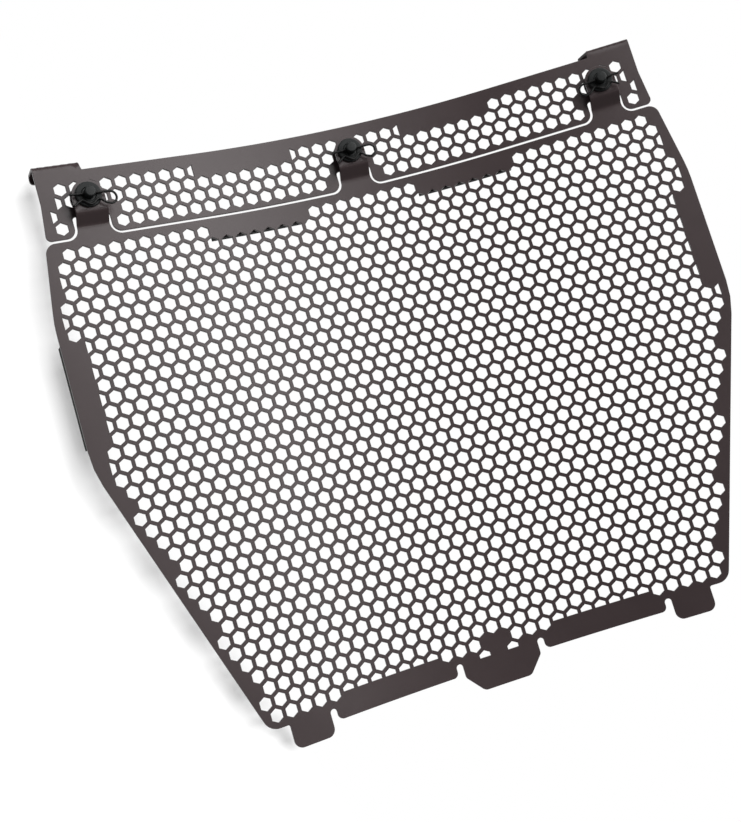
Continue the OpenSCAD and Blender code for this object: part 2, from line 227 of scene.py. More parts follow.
SHEET = sheet_material()
RUBBER = rubber_material()
STEEL = stud_material()
WIRE = wire_material()
FOAM = foam_material()


# Outlines
def rounded(corners, step=10.0):
    """Corners (x, y, r) as a loop of points, each corner an arc of radius r in steps of degrees."""
    out = []
    count = len(corners)
    for i, (bx, by, r) in enumerate(corners):
        b = np.array((bx, by))
        if r <= 0:
            out.append(b)
            continue
        u = np.array(corners[i - 1][:2]) - b
        v = np.array(corners[(i + 1) % count][:2]) - b
        u, v = u / np.linalg.norm(u), v / np.linalg.norm(v)
        half = math.acos(np.clip(u @ v, -1, 1)) / 2
        mid = (u + v) / np.linalg.norm(u + v)
        centre = b + mid * r / math.sin(half)
        p, q = b + u * r / math.tan(half) - centre, b + v * r / math.tan(half) - centre
        start = math.atan2(p[1], p[0])
        swing = (math.atan2(q[1], q[0]) - start + math.pi) % (2 * math.pi) - math.pi
        steps = max(2, math.ceil(abs(math.degrees(swing)) / step))
        for k in range(steps + 1):
            a = start + swing * k / steps
            out.append(centre + r * np.array((math.cos(a), math.sin(a))))
    return np.array(out)


def both_sides(half):
    """The corners of a right half, and the same mirrored."""
    return half + [(-x, y, r) for x, y, r in reversed(half)]


def anticlockwise(loop):
    x, y = loop[:, 0], loop[:, 1]
    area = np.sum(x * np.roll(y, -1) - y * np.roll(x, -1))
    return loop if area > 0 else loop[::-1]


def subdivided(loop, longest):
    """The loop with each edge in equal parts no longer than longest(start, end)."""
    out = []
    for a, b in zip(loop, np.roll(loop, -1, 0)):
        steps = max(1, math.ceil(np.linalg.norm(b - a) / longest(a, b)))
        out.extend(a + (b - a) * k / steps for k in range(steps))
    return np.array(out)


def shifted(loop, d):
    """The anticlockwise loop, moved outwards by d."""
    before = loop - np.roll(loop, 1, 0)
    after = np.roll(loop, -1, 0) - loop
    n0 = np.stack([before[:, 1], -before[:, 0]], 1)
    n1 = np.stack([after[:, 1], -after[:, 0]], 1)
    n0 /= np.linalg.norm(n0, axis=1)[:, None]
    n1 /= np.linalg.norm(n1, axis=1)[:, None]
    mid = n0 + n1
    return loop + d * mid * 2 / np.sum(mid * mid, 1)[:, None]


# Folds of the tabs and hooks
class Fold:
    """A path of the front face in (y, h), from unrolled height y0, as (length, radius, turn) steps."""

    def __init__(self, y0, steps):
        self.y0 = y0
        self.steps = steps

    def at(self, y):
        """(y, h, slope) of the front face at one unrolled height."""
        left, py, ph, slope = y - self.y0, self.y0, 0.0, 0.0
        if left <= 0:
            return y, 0.0, 0.0
        for length, radius, turn in self.steps:
            go = min(left, length)
            if turn == 0:
                py, ph = py + go * math.cos(slope), ph + go * math.sin(slope)
            else:
                sign = math.copysign(1, turn)
                end = slope + sign * go / radius
                py += sign * radius * (math.sin(end) - math.sin(slope))
                ph -= sign * radius * (math.cos(end) - math.cos(slope))
                slope = end
            left -= go
            if left <= 1e-9:
                break
        return py, ph, slope

    def length(self):
        return sum(step[0] for step in self.steps)


def bend(radius, degrees):
    return (radius * math.radians(abs(degrees)), radius, math.radians(degrees))


def straight(length):
    return (length, 0.0, 0.0)


def tangent(radius, degrees):
    return radius * math.tan(math.radians(degrees) / 2)


INNER_R = 1.0
OUTER_R = 2.4
STEP_LINE = TAB_H * math.sqrt(2) - tangent(INNER_R, 45) - tangent(OUTER_R, 45)
TAB_START = TAB_FOLD - tangent(INNER_R, 45)
PAST_END = 99           # longer than what is left of a tab
tab_fold = Fold(TAB_START, [
    bend(INNER_R, 45), straight(STEP_LINE), bend(OUTER_R, -45), straight(PAST_END)])
# Unrolled heights where a tab is flat again, and of the stud's centre on it
TAB_FLAT = TAB_START + bend(INNER_R, 45)[0] + STEP_LINE + bend(OUTER_R, 45)[0]
TAB_HOLE_Y = TAB_FLAT + STUD_Y - (TAB_FOLD + TAB_H + tangent(OUTER_R, 45))

hook_fold = Fold(HOOK_FOLD - OUTER_R, [
    bend(OUTER_R, -90), straight(HOOK_DEPTH - 2 * OUTER_R), bend(OUTER_R, -90),
    straight(HOOK_LIP - OUTER_R)])
HOOK_END = hook_fold.y0 + hook_fold.length()


def bent_place(points, h, fold, folded):
    """World positions of unrolled points at height h off the front, folded where folded says so."""
    s, y = points[:, 0], points[:, 1].copy()
    height = np.full(len(points), float(h))
    for i in np.nonzero(folded(points))[0]:
        py, ph, slope = fold.at(y[i])
        y[i], height[i] = py - h * math.sin(slope), ph + h * math.cos(slope)
    return place(s, y, height)


# Hexagons
def hexagon(s, y):
    r = HOLE_AF / math.sqrt(3)
    return np.array([(s + r * math.cos(a), y + r * math.sin(a))
                     for a in (math.radians(30 + 60 * k) for k in range(6))])


def clipped(poly, a, b, c):
    """The part of a convex polygon where a x + b y <= c."""
    out = []
    for p, q in zip(poly, np.roll(poly, -1, 0)):
        dp, dq = a * p[0] + b * p[1] - c, a * q[0] + b * q[1] - c
        if dp <= 0:
            out.append(p)
        if dp * dq < 0:
            out.append(p + (q - p) * dp / (dp - dq))
    return np.array(out)


DISC_STEP = 0.3
DISC_ARC_STEPS = 6
LEAST_SHARE = 0.45      # a hexagon with less of its edge left is dropped


def without_disc(poly, centre, r):
    """A hexagon less the disc round a stud, or None where little is left."""
    fine = subdivided(poly, lambda a, b: DISC_STEP)
    clear = np.linalg.norm(fine - centre, axis=1) > r
    if clear.all():
        return poly
    if clear.sum() < len(fine) * LEAST_SHARE:
        return None
    start = next(i for i in range(len(fine)) if clear[i] and not clear[i - 1])
    run = []
    for k in range(len(fine)):
        i = (start + k) % len(fine)
        if not clear[i]:
            break
        run.append(fine[i])
    d0, d1 = run[-1] - centre, run[0] - centre
    a0, a1 = math.atan2(d0[1], d0[0]), math.atan2(d1[1], d1[0])
    swing = (a1 - a0 + math.pi) % (2 * math.pi) - math.pi
    turns = [a0 + swing * k / DISC_ARC_STEPS for k in range(1, DISC_ARC_STEPS)]
    arc = [centre + r * np.array((math.cos(a), math.sin(a))) for a in turns]
    return np.array(run[::2] + arc)


def inset(p, a, b):
    """How far a point lies to the right of the line from a to b."""
    dx, dy = b[0] - a[0], b[1] - a[1]
    return ((p[0] - a[0]) * dy - (p[1] - a[1]) * dx) / math.hypot(dx, dy)


def deep_in(p, edges):
    """How far a point lies inside the nearest of the edges, which run clockwise."""
    return min(inset(p, a, b) for a, b in zip(edges, edges[1:]))


# Main panel
MAIN_TOP_HALF = 185.4
MAIN_HALF = 191.6
MAIN_SHOULDER = 74
MAIN_WAIST = -6
MAIN_FOOT_HALF = 137.6
MAIN_TOP_R = 6
MAIN_SHOULDER_R = 80
MAIN_WAIST_R = 60
MAIN_FOOT_R = 8
BAND_FOOT = -167.9
BAND_R = 3
SLOT_W = 4.0
SLOT_END_R = SLOT_W / 2 - 0.05
CORNER_TAB_IN = 103.1
CORNER_TAB_OUT = 126.3
CORNER_TAB_FOOT = -174.7
CORNER_TAB_R = 4.5
CORNER_TAB_ROOT_R = 1.2
MIDDLE_TAB_HALF = 22.6
SLANT_W = 8.6           # the middle tab's slanted corners
SLANT_H = 9.7
SLANT_HIGH_R = 3
SLANT_LOW_R = 4
TAB_END = TAB_HOLE_Y + TAB_W / 2
ROUND_END = TAB_W / 2 - 0.01
ROOT_R = 6.4
BORDER = 2.6


def tab_corners(s):
    """One tab of the main panel: fillet, straight side and full round end, unrolled."""
    low, high = s - TAB_W / 2, s + TAB_W / 2
    return [(low, MAIN_TOP, ROOT_R), (low, TAB_END, ROUND_END), (high, TAB_END, ROUND_END),
            (high, MAIN_TOP, ROOT_R)]


band_in = MIDDLE_TAB_HALF + SLOT_W
band_out = CORNER_TAB_IN - SLOT_W
main_half = tab_corners(0)[2:] + tab_corners(STUD_S) + [
    (MAIN_TOP_HALF, MAIN_TOP, MAIN_TOP_R),
    (MAIN_HALF, MAIN_SHOULDER, MAIN_SHOULDER_R),
    (MAIN_HALF, MAIN_WAIST, MAIN_WAIST_R),
    (MAIN_FOOT_HALF, MAIN_FOOT, MAIN_FOOT_R),
    (CORNER_TAB_OUT, MAIN_FOOT, CORNER_TAB_ROOT_R),
    (CORNER_TAB_OUT, CORNER_TAB_FOOT, CORNER_TAB_R),
    (CORNER_TAB_IN, CORNER_TAB_FOOT, CORNER_TAB_R),
    (CORNER_TAB_IN, MAIN_FOOT, SLOT_END_R),
    (band_out, MAIN_FOOT, SLOT_END_R),
    (band_out, BAND_FOOT, BAND_R),
    (band_in, BAND_FOOT, BAND_R),
    (band_in, MAIN_FOOT, SLOT_END_R),
    (MIDDLE_TAB_HALF, MAIN_FOOT, SLOT_END_R),
    (MIDDLE_TAB_HALF, MIDDLE_TAB_FOOT + SLANT_H, SLANT_HIGH_R),
    (MIDDLE_TAB_HALF - SLANT_W, MIDDLE_TAB_FOOT, SLANT_LOW_R)]
main_edges = [(0, MAIN_TOP), (MAIN_TOP_HALF, MAIN_TOP), (MAIN_HALF, MAIN_SHOULDER),
              (MAIN_HALF, MAIN_WAIST), (MAIN_FOOT_HALF, MAIN_FOOT), (0, MAIN_FOOT)]
MAIN_ROWS = range(-15, 22)
MAIN_COLUMNS = range(-24, 25)
FOOT_CUT = -162.0       # foot of the two cut hexagons over the middle tab
SIDES_FROM = 1.5 * PAD_OUT      # cut hexagons end the rows only further out than this
CORNER_CUT = 0.4        # and reach this much further than the room of their neighbours


def on_lattice(i, j):
    return (i + 0.5 * (j % 2)) * PITCH, -j * ROW


def in_pad_span(s):
    return PAD_IN < abs(s) < PAD_OUT


def full_hole(s, y, j):
    """Whether the hexagon at (s, y), in row j, is there uncut."""
    if deep_in((abs(s), y), main_edges) < BORDER + HOLE_ROOM:
        return False
    if j == MAIN_ROWS[0] and in_pad_span(s):
        return False
    if j == MAIN_ROWS[-1] and (in_pad_span(s) or abs(s) < PITCH):
        return False
    if abs(s) + HOLE_ROOM > SIDE_BAND and SIDE_PAD_LOW < y < SIDE_PAD_HIGH:
        return False
    # The left side leaves out the last hexagon of row 1, which the right side has.
    return not (j == 1 and s < -MAIN_HALF + 1.2 * PITCH)


def side_cut(s, y, j):
    """Whether a row ends here in a hexagon cut off in line with its neighbours."""
    side = math.copysign(1, s)
    below, above = [full_hole(s - side * PITCH / 2, y + up * ROW, j - up) for up in (-1, 1)]
    # Row 0 has one under the right side pad, where no full hexagon lies above it.
    in_line = below and (above or (j == 0 and s > 0))
    return in_line and y > MAIN_WAIST - PITCH and abs(s) > SIDES_FROM


def main_holes():
    holes = []
    for j in MAIN_ROWS:
        for i in MAIN_COLUMNS:
            s, y = on_lattice(i, j)
            if full_hole(s, y, j):
                holes.append(hexagon(s, y))
            elif side_cut(s, y, j):
                reach = abs(s) - PITCH / 2 + HOLE_ROOM + CORNER_CUT
                holes.append(clipped(hexagon(s, y), math.copysign(1, s), 0, reach))
            elif j == MAIN_ROWS[-1] and in_pad_span(s):
                holes.append(clipped(hexagon(s, y), 0, -1, -BAND_LOW))
    for side in (-1, 1):
        s, y = on_lattice(side, MAIN_ROWS[-1] + 1)
        holes.append(clipped(hexagon(s, y), 0, -1, -FOOT_CUT))
    return holes


# Upper panel
UPPER_FOOT = MAIN_TOP + PANEL_GAP
UPPER_HALF = 182.2
UPPER_FOOT_HALF = 184.3
UPPER_FOOT_R = 3
UPPER_SIDE_R = 20
UPPER_TOP_R = 0.6
NOTCH_HALF = TAB_W / 2 + PANEL_GAP
NOTCH_REACH = 6         # past the fold of its tab
NOTCH_TOP = TAB_FOLD + NOTCH_REACH
NOTCH_R = 2
NOTCH_CLEAR = NOTCH_HALF + 5    # no hexagon of the lower rows is centred nearer to a stud
HOOK_IN = 156.8
HOOK_FLARE = 4.0
HOOK_NECK = 4           # from the start of its fold to the start of its flare
HOOK_ROOT_LEAN = 1
HOOK_R = 2.2
STUD_CLEAR = 8.8
STUD_NEAR = 14
UPPER_COLUMNS = range(-23, 24)
ROW_ENDS = {-20: 173.9, -19: 174.0, -18: 178.2, -17: 178.0}     # each row is cut off here
TOP_ROW = -20
NOTCH_ROWS = (-18, -17)
LEAST_CUT = 1.0         # no hexagon at the end of a row is cut to less than this
OVER_PAD = 1.0          # a hexagon centred over a pad by less than this is cut, not left out


def notch_corners(s):
    low, high = s - NOTCH_HALF, s + NOTCH_HALF
    foot_r = ROOT_R - PANEL_GAP
    return [(low, UPPER_FOOT, foot_r), (low, NOTCH_TOP, NOTCH_R), (high, NOTCH_TOP, NOTCH_R),
            (high, UPPER_FOOT, foot_r)]


flare_start = hook_fold.y0 + HOOK_NECK
flare_end = hook_fold.y0 + bend(OUTER_R, 90)[0] + HOOK_DEPTH - 2 * OUTER_R
upper_half = notch_corners(0)[2:] + notch_corners(STUD_S) + [
    (UPPER_FOOT_HALF, UPPER_FOOT, UPPER_FOOT_R),
    (UPPER_HALF, STUD_Y, UPPER_SIDE_R),
    (UPPER_HALF, HOOK_END, HOOK_R),
    (HOOK_IN - HOOK_FLARE, HOOK_END, HOOK_R),
    (HOOK_IN - HOOK_FLARE, flare_end, 0),
    (HOOK_IN, flare_start, 0),
    (HOOK_IN - HOOK_ROOT_LEAN, UPPER_TOP, UPPER_TOP_R)]


def cut_by_pads(poly, s):
    """A hexagon of the top row: cut in line with the ends of the pads, or None over a pad."""
    if PAD_IN >= abs(s) + HOLE_ROOM or abs(s) - HOLE_ROOM >= PAD_OUT:
        return poly
    side = math.copysign(1, s)
    if abs(s) < PAD_IN + OVER_PAD:
        return clipped(poly, side, 0, PAD_IN)
    if abs(s) < PAD_OUT - OVER_PAD:
        return None
    # Only the left side cuts the hexagon at the outer end.
    return clipped(poly, -side, 0, -PAD_OUT) if s < 0 else poly


def upper_hole(s, y, j):
    """The hexagon at (s, y), in row j, cut as its place asks, or None where there is none."""
    stud = min(STUDS, key=lambda f: abs(s - f))
    outer = ROW_ENDS[j]
    if abs(s) - HOLE_ROOM > outer - LEAST_CUT:
        return None
    if j in NOTCH_ROWS and abs(s - stud) < NOTCH_CLEAR:
        return None
    poly = hexagon(s, y)
    if abs(s) + HOLE_ROOM > outer:
        poly = clipped(poly, math.copysign(1, s), 0, outer)
    if j == TOP_ROW:
        poly = cut_by_pads(poly, s)
    if poly is not None and j not in NOTCH_ROWS and abs(s - stud) < STUD_NEAR:
        poly = without_disc(poly, np.array((stud, STUD_Y)), STUD_CLEAR)
    return poly


def upper_holes():
    places = [(*on_lattice(i, j), j) for j in ROW_ENDS for i in UPPER_COLUMNS]
    holes = [upper_hole(s, y, j) for s, y, j in places]
    return [hole for hole in holes if hole is not None]


def round_hole(s, y, r, sides=48):
    a = np.linspace(0, 2 * math.pi, sides, endpoint=False)
    return np.stack([s + r * np.cos(a), y + r * np.sin(a)], 1)


# Meshes
def make_mesh(name, points, polys, smooth_deg):
    mesh = bpy.data.meshes.new(name)
    mesh.from_pydata([tuple(p) for p in points], [], polys)
    mesh.validate()
    mesh.shade_smooth()
    mesh.set_sharp_from_angle(angle=math.radians(smooth_deg))
    return add_object(name, mesh)


def finish_piece(obj, mat, node):
    obj.data.materials.append(mat)
    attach(obj, "root")
    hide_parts(node)


# Sheets
GRID = 4.25
FOLD_GRID = 0.6         # steps across a fold
EDGE_ROOM = 0.9
CENTRE_ROOM = 0.55 * HOLE_AF
BLOCK = 500
INSIDE_FACES = 1        # the triangulation keeps what lies inside the given faces
MERGE_WITHIN = 1e-6
SHEET_SMOOTH = 30       # degrees between faces up to which an edge is shaded smooth


def grid_points(s0, s1, y0, y1, step):
    rows_and_columns = np.meshgrid(np.arange(s0, s1, GRID), np.arange(y0, y1, step))
    return np.stack(rows_and_columns, -1).reshape(-1, 2)


def clear_of(points, others, room):
    """Which points have more than room around them, worked out a block at a time."""
    clear = np.ones(len(points), bool)
    for k in range(0, len(points), BLOCK):
        gaps = np.linalg.norm(points[k:k + BLOCK, None] - others[None], axis=2)
        clear[k:k + BLOCK] = gaps.min(1) > room
    return clear


def inside(points, outline):
    """Which points lie in the outline, by the number of edges to their right."""
    odd = np.zeros(len(points), bool)
    for a, b in zip(outline, np.roll(outline, -1, 0)):
        level = (a[1] > points[:, 1]) != (b[1] > points[:, 1])
        with np.errstate(divide="ignore", invalid="ignore"):
            x = (b[0] - a[0]) * (points[:, 1] - a[1]) / (b[1] - a[1]) + a[0]
        odd ^= level & (points[:, 0] < x)
    return odd


def fill_points(outline, holes, fine):
    """Extra points on the plain parts, so that they bend smoothly."""
    low, high = outline.min(0), outline.max(0)
    grids = [grid_points(low[0], high[0], low[1], high[1], GRID)]
    grids += [grid_points(*patch, FOLD_GRID) for patch in fine]
    points = np.concatenate(grids)
    centres = np.array([hole.mean(0) for hole in holes])
    keep = clear_of(points, np.concatenate([outline] + holes), EDGE_ROOM)
    keep &= clear_of(points, centres, CENTRE_ROOM)
    return points[keep & inside(points, outline)]


def triangulated(loops, spare):
    """Points and triangles between an outline and its holes, and the point numbers of each loop."""
    starts = np.cumsum([0] + [len(loop) for loop in loops])
    faces = [list(range(low, high)) for low, high in zip(starts, starts[1:])]
    coords = [Vector(point) for point in np.concatenate(loops + [spare])]
    verts, _, tris, source, _, owners = delaunay_2d_cdt(coords, [], faces, INSIDE_FACES, MERGE_WITHIN)
    number = {old: new for new, olds in enumerate(source) for old in olds}
    rims = [[number[i] for i in face] for face in faces]
    tris = [tri for tri, own in zip(tris, owners) if list(own) == [0]]
    return np.array([(v.x, v.y) for v in verts]), tris, rims


def sheet_mesh(name, outline, holes, to_world, fine):
    """A closed sheet with holes and softened edges. to_world(points, h) gives world positions."""
    outline = anticlockwise(outline)
    holes = [anticlockwise(hole) for hole in holes]
    face_loops = [shifted(outline, -EDGE_BEVEL)] + [shifted(hole, EDGE_BEVEL) for hole in holes]
    flat, tris, rims = triangulated(face_loops, fill_points(outline, holes, fine))
    n = len(flat)
    points = [to_world(flat, 0.0), to_world(flat, -SHEET_T)]
    polys = [tuple(tri) for tri in tris] + [tuple(n + i for i in reversed(tri)) for tri in tris]
    at = 2 * n
    for k, (loop, rim) in enumerate(zip([outline] + holes, rims)):
        m = len(loop)
        points += [to_world(loop, -EDGE_BEVEL), to_world(loop, EDGE_BEVEL - SHEET_T)]
        for i in range(m):
            j = (i + 1) % m
            ring = [(rim[i], rim[j]), (at + i, at + j), (at + m + i, at + m + j),
                    (n + rim[i], n + rim[j])]
            for (a, b), (c, d) in zip(ring, ring[1:]):
                polys.append((a, c, d, b) if k == 0 else (a, b, d, c))
        at += 2 * m
    return make_mesh(name, np.concatenate(points), polys, SHEET_SMOOTH)


FOLD_EDGE = 0.7         # longest piece of an edge that runs up a fold
FOLD_EDGE_LEAN = 6      # such an edge leans less than this across the sheet
TAB_MARGIN = 0.6
HOOK_MARGIN = 1
HOOK_SPAN = 30          # more than the width of a hook


def edge_step(a, b):
    """Longest piece of an outline's edge: short where the sheet folds."""
    folds = max(a[1], b[1]) > TAB_START - 1 and abs(a[0] - b[0]) < FOLD_EDGE_LEAN
    return FOLD_EDGE if folds else GRID


def main_folded(points):
    off_stud = np.min([abs(points[:, 0] - s) for s in STUDS], axis=0)
    return (off_stud < TAB_W / 2 + TAB_MARGIN) & (points[:, 1] > TAB_START)


def upper_folded(points):
    beside = abs(points[:, 0]) > HOOK_IN - HOOK_FLARE - HOOK_MARGIN
    return beside & (points[:, 1] > hook_fold.y0)


def build_main_panel():
    holes = main_holes() + [round_hole(s, TAB_HOLE_Y, NECK_R + SEAT) for s in STUDS]
    fine = [(s - TAB_W / 2 + 1, s + TAB_W / 2, TAB_START, TAB_FLAT + 1) for s in STUDS]
    outline = subdivided(rounded(both_sides(main_half)), edge_step)
    panel = sheet_mesh("main_screen", outline, holes,
                       lambda p, h: bent_place(p, h, tab_fold, main_folded), fine)
    finish_piece(panel, SHEET, "main_panel")


def build_upper_panel():
    holes = upper_holes() + [round_hole(s, STUD_Y, STUD_R + SEAT, 32) for s in STUDS]
    spans = [sorted((side * HOOK_IN, side * (HOOK_IN + HOOK_SPAN))) for side in (-1, 1)]
    fine = [(*span, hook_fold.y0, HOOK_END) for span in spans]
    outline = subdivided(rounded(both_sides(upper_half)), edge_step)
    panel = sheet_mesh("upper_strip", outline, holes,
                       lambda p, h: bent_place(p, h, hook_fold, upper_folded), fine)
    finish_piece(panel, SHEET, "upper_panel")


build_main_panel()
build_upper_panel()


# Fastenings
SHOULDER_R = 4.0
STUD_H = 12.9
GROMMET_R = 7.2
FLANGE_T = 1.8
FLANGE_H = TAB_H + SEAT + FLANGE_T
SHOULDER_H = FLANGE_H - 0.6
WIRE_R = 0.65
WIRE_H = FLANGE_H + WIRE_R + 0.25
RIVET_R = 5.5
RIVET_T = 1.2
TURNED_SIDES = 64
TURNED_STEP = 15
TURNED_SMOOTH = 35
WIRE_SIDES = 12
WIRE_SMOOTH = 60


def stand_at(points, s, y):
    """World positions of points (x, y, z) given on the sheet at (s, y), z along its normal."""
    turn = float(np.clip(s, -HALF_ARC, HALF_ARC)) / BEND_R
    origin = place(s, y, 0.0)
    along = np.array((math.cos(turn), 0, math.sin(turn)))
    out = np.array((-math.sin(turn), 0, math.cos(turn)))
    points = np.asarray(points, float) * MM
    right, up, off = (points[:, k:k + 1] for k in range(3))
    return origin + right * along + up * np.array((0, 1, 0)) + off * out


def ring_faces(first, second, sides):
    """The faces between two rings of points, given by the rings' numbers."""
    steps = [(i, (i + 1) % sides) for i in range(sides)]
    return [(first * sides + i, first * sides + j, second * sides + j, second * sides + i)
            for i, j in steps]


def ring_cap(number, sides):
    return tuple(range(number * sides, (number + 1) * sides))


def revolved(name, section, s):
    """Turns a section of (r, z) about the stud's axis, either closed or from axis to axis."""
    sides = TURNED_SIDES
    count = len(section)
    closed = section[0, 0] > 0
    a = np.linspace(0, 2 * math.pi, sides, endpoint=False)
    pts = np.concatenate([np.stack([r * np.cos(a), r * np.sin(a), np.full(sides, z)], 1)
                          for r, z in section])
    # Caps take the place of the rows of faces that meet on the axis.
    rows = range(count) if closed else range(1, count - 2)
    caps = [] if closed else [ring_cap(1, sides)[::-1], ring_cap(count - 2, sides)]
    polys = [face for k in rows for face in ring_faces(k, (k + 1) % count, sides)] + caps
    return make_mesh(name, stand_at(pts, s, STUD_Y), polys, TURNED_SMOOTH)


def build_stud(name, s):
    low = -SHEET_T - SEAT
    section = rounded([
        (0, low - RIVET_T, 0), (RIVET_R, low - RIVET_T, 0.5), (RIVET_R, low, 0), (STUD_R, low, 0),
        (STUD_R, SEAT, 0), (SHOULDER_R, SEAT, 0), (SHOULDER_R, SHOULDER_H, 0.3),
        (STUD_R, SHOULDER_H, 0), (STUD_R, STUD_H, 0.6), (0, STUD_H, 0)], TURNED_STEP)
    return revolved(name, section, s)


def build_grommet(name, s):
    r = GROMMET_R
    under = TAB_H - SHEET_T - SEAT
    section = rounded([
        (SHOULDER_R + SEAT, SEAT, 0), (r, SEAT, 0.4), (r, under, 0.4), (NECK_R, under, 0),
        (NECK_R, TAB_H + SEAT, 0), (r, TAB_H + SEAT, 0.3), (r, FLANGE_H, 0.7),
        (SHOULDER_R + SEAT, FLANGE_H, 0.3)], TURNED_STEP)
    return revolved(name, section, s)


# Spring clips
LEG = 10.8              # half the length of the straight leg, which runs through the stud
LOOP_R = 3.5
LOOP_STEPS = 12
WAVE_HALF = 4.9
WAVE_LOW = -4.9
WAVE_DEPTH = 1.35
WAVE_STEPS = 16
SPAN_STEPS = 4


def clip_line():
    """The wire in the plane of the clip: straight leg, end loop, wave round the stud and tail."""
    line = [(-LEG, 0.0)]
    for k in range(LOOP_STEPS + 1):
        a = math.radians(90 - 180 * k / LOOP_STEPS)
        line.append((LEG + LOOP_R * math.cos(a), LOOP_R * (math.sin(a) - 1)))
    line += [(8.2, -6.1), (6.2, -4.4)]
    for k in range(WAVE_STEPS + 1):
        x = WAVE_HALF - k * 2 * WAVE_HALF / WAVE_STEPS
        line.append((x, WAVE_LOW - WAVE_DEPTH * math.cos(math.pi * x / WAVE_HALF)))
    return line + [(-6.4, -4.4), (-9.4, -6.5)]


def smooth_line(points):
    """A Catmull-Rom curve through the points."""
    p = np.array(points, float)
    p = np.concatenate([[2 * p[0] - p[1]], p, [2 * p[-1] - p[-2]]])
    out = []
    for i in range(1, len(p) - 2):
        for k in range(SPAN_STEPS):
            t = k / SPAN_STEPS
            out.append(0.5 * (2 * p[i] + (p[i + 1] - p[i - 1]) * t
                              + (2 * p[i - 1] - 5 * p[i] + 4 * p[i + 1] - p[i + 2]) * t * t
                              + (3 * p[i] - p[i - 1] - 3 * p[i + 1] + p[i + 2]) * t ** 3))
    out.append(p[-2])
    return np.array(out)


def build_clip(name, s, turn_deg, flip):
    """A clip of round wire, turned a little and, where flip says so, mirrored."""
    line = clip_line()
    path = np.concatenate([[line[0]], smooth_line(line[1:])])
    turn = math.radians(turn_deg)
    if flip:
        path = path * np.array((-1, 1))
    rot = np.array(((math.cos(turn), -math.sin(turn)), (math.sin(turn), math.cos(turn))))
    path = path @ rot.T
    sides = WIRE_SIDES
    ahead = np.gradient(path, axis=0)
    ahead /= np.linalg.norm(ahead, axis=1)[:, None]
    a = np.linspace(0, 2 * math.pi, sides, endpoint=False)
    ring = np.stack([np.cos(a), np.sin(a)], 1) * WIRE_R
    pts = []
    for p, t in zip(path, ahead):
        across = np.array((-t[1], t[0]))
        pts += [(*(p + across * c), WIRE_H + z) for c, z in ring]
    last = len(path) - 1
    polys = [face for k in range(last) for face in ring_faces(k, k + 1, sides)]
    polys += [ring_cap(0, sides)[::-1], ring_cap(last, sides)]
    obj = make_mesh(name, stand_at(pts, s, STUD_Y), polys, WIRE_SMOOTH)
    if flip:
        obj.data.flip_normals()
    return obj


for side, s, turn_deg in zip(("left", "centre", "right"), STUDS, (-2, 1, 2)):
    finish_piece(build_stud("stud_pin_" + side, s), STEEL, "stud_" + side)
    finish_piece(build_grommet("rubber_" + side, s), RUBBER, "grommet_" + side)
    finish_piece(build_clip("clip_wire_" + side, s, turn_deg, side == "right"), WIRE,
                 "r_clip_" + side)


# Foam pads
PAD_EDGE = 0.35
PAD_COLUMNS = 26
PAD_ROWS = 6
PAD_SMOOTH = 40
LONG_PAD_INSET = 0.9
UPPER_BAND_W = 11
PAD_SHOWS = 1.0         # how far the top pads reach into the row of holes below the band


def with_edges(low, high, count):
    """Evenly spread places from low to high, and one more beside each end for the softened edge."""
    spread = np.linspace(low + PAD_EDGE, high - PAD_EDGE, count)
    return np.concatenate([[low], spread, [high]])


def build_pad(name, s0, s1, y0, y1):
    """A foam strip glued behind the sheet, with softened edges."""
    cols = with_edges(s0, s1, PAD_COLUMNS)
    rows = with_edges(y0, y1, PAD_ROWS)
    levels = (0.0, -PAD_EDGE, -(PAD_T - PAD_EDGE), -PAD_T)
    pts, index = [], {}

    def vertex(i, j, k):
        """The number of the point in column i, row j and level k, which is made when first asked for."""
        key = (i, j, k)
        if key not in index:
            index[key] = len(pts)
            pts.append(place(cols[i], rows[j], -SHEET_T + levels[k]))
        return index[key]

    nx, ny = len(cols), len(rows)

    def plain_side(k, corners):
        """The faces of the front or back, inside its softened edge."""
        return [[vertex(i + a, j + b, k) for a, b in corners]
                for i in range(1, nx - 2) for j in range(1, ny - 2)]

    polys = plain_side(3, ((0, 0), (0, 1), (1, 1), (1, 0)))
    around = ([(i, 0) for i in range(nx - 1)] + [(nx - 1, j) for j in range(ny - 1)]
              + [(i, ny - 1) for i in range(nx - 1, 0, -1)] + [(0, j) for j in range(ny - 1, 0, -1)])
    rim = [(min(max(i, 1), nx - 2), min(max(j, 1), ny - 2)) for i, j in around]
    for (p, q), (a, b) in zip(zip(around, around[1:] + around[:1]), zip(rim, rim[1:] + rim[:1])):
        polys.append([vertex(*q, 1), vertex(*p, 1), vertex(*p, 2), vertex(*q, 2)])
        quad = [vertex(*q, 2), vertex(*p, 2), vertex(*a, 3), vertex(*b, 3)]
        polys.append(list(dict.fromkeys(quad)))
        quad = [vertex(*p, 1), vertex(*q, 1), vertex(*b, 0), vertex(*a, 0)]
        polys.append(list(dict.fromkeys(quad)))
    polys += plain_side(0, ((0, 0), (1, 0), (1, 1), (0, 1)))
    return make_mesh(name, pts, polys, PAD_SMOOTH)


